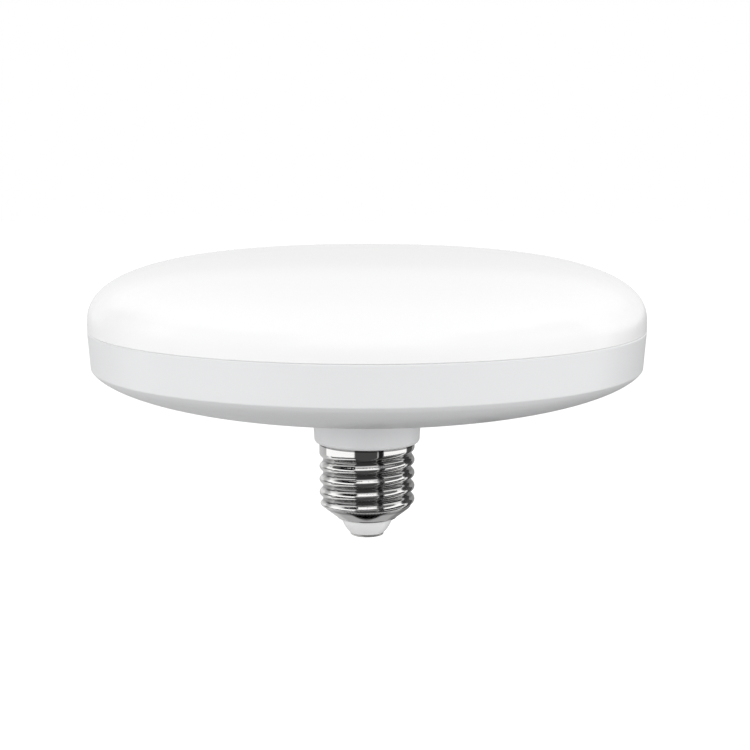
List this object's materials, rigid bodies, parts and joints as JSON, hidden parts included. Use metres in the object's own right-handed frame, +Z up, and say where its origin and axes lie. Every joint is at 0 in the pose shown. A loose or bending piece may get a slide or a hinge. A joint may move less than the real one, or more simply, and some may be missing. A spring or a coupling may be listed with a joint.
{
  "type": "led disc lamp",
  "caption": "Flat round mains lamp with an opal diffuser over a shallow white housing on a screw cap.",
  "frame": {"origin": "on the lamp's axis at the tip of the centre contact", "axes": "+Z up the lamp's axis from the cap to the light-giving disc, -Y towards the camera of the picture"},
  "size_m": [0.15, 0.15, 0.0785],
  "materials": {
    "opal": "gloss",
    "white_plastic": "gloss",
    "nickel": "polished",
    "insulator_white": "gloss",
    "contact_metal": "satin",
    "aluminium": "satin",
    "board_white": "satin",
    "phosphor": "matte",
    "steel": "satin",
    "terminal_white": "matte",
    "board_green": "satin",
    "can_black": "gloss",
    "ferrite": "matte",
    "bobbin_black": "matte",
    "enamelled_copper": "gloss",
    "epoxy_blue": "gloss",
    "epoxy_yellow": "satin",
    "resistor_green": "satin",
    "package_black": "matte",
    "resistor_black": "satin",
    "wire_red": "satin",
    "wire_black": "satin",
    "tinned_copper": "satin"
  },
  "bodies": {
    "root": {"diffuser": "opal", "housing": "white_plastic", "screw_shell": "nickel", "cap_insulator": "insulator_white", "centre_contact": "contact_metal", "heat_dish": "aluminium", "led_board": "board_white", "led_chips": "phosphor", "board_screws": "steel", "wire_terminal": "terminal_white", "driver_board": "board_green", "bulk_capacitor": "can_black", "output_capacitor": "can_black", "inductor_core": "ferrite", "inductor_bobbin": "bobbin_black", "inductor_winding": "enamelled_copper", "choke_core": "ferrite", "choke_winding": "enamelled_copper", "varistor": "epoxy_blue", "film_capacitor": "epoxy_yellow", "fusible_resistor": "resistor_green", "driver_chip": "package_black", "bridge_rectifier": "package_black", "output_diode": "package_black", "chip_resistors": "resistor_black", "live_wire": "wire_red", "neutral_wire": "tinned_copper", "negative_lead": "wire_black", "positive_lead": "wire_red"}
  },
  "joints": []
}
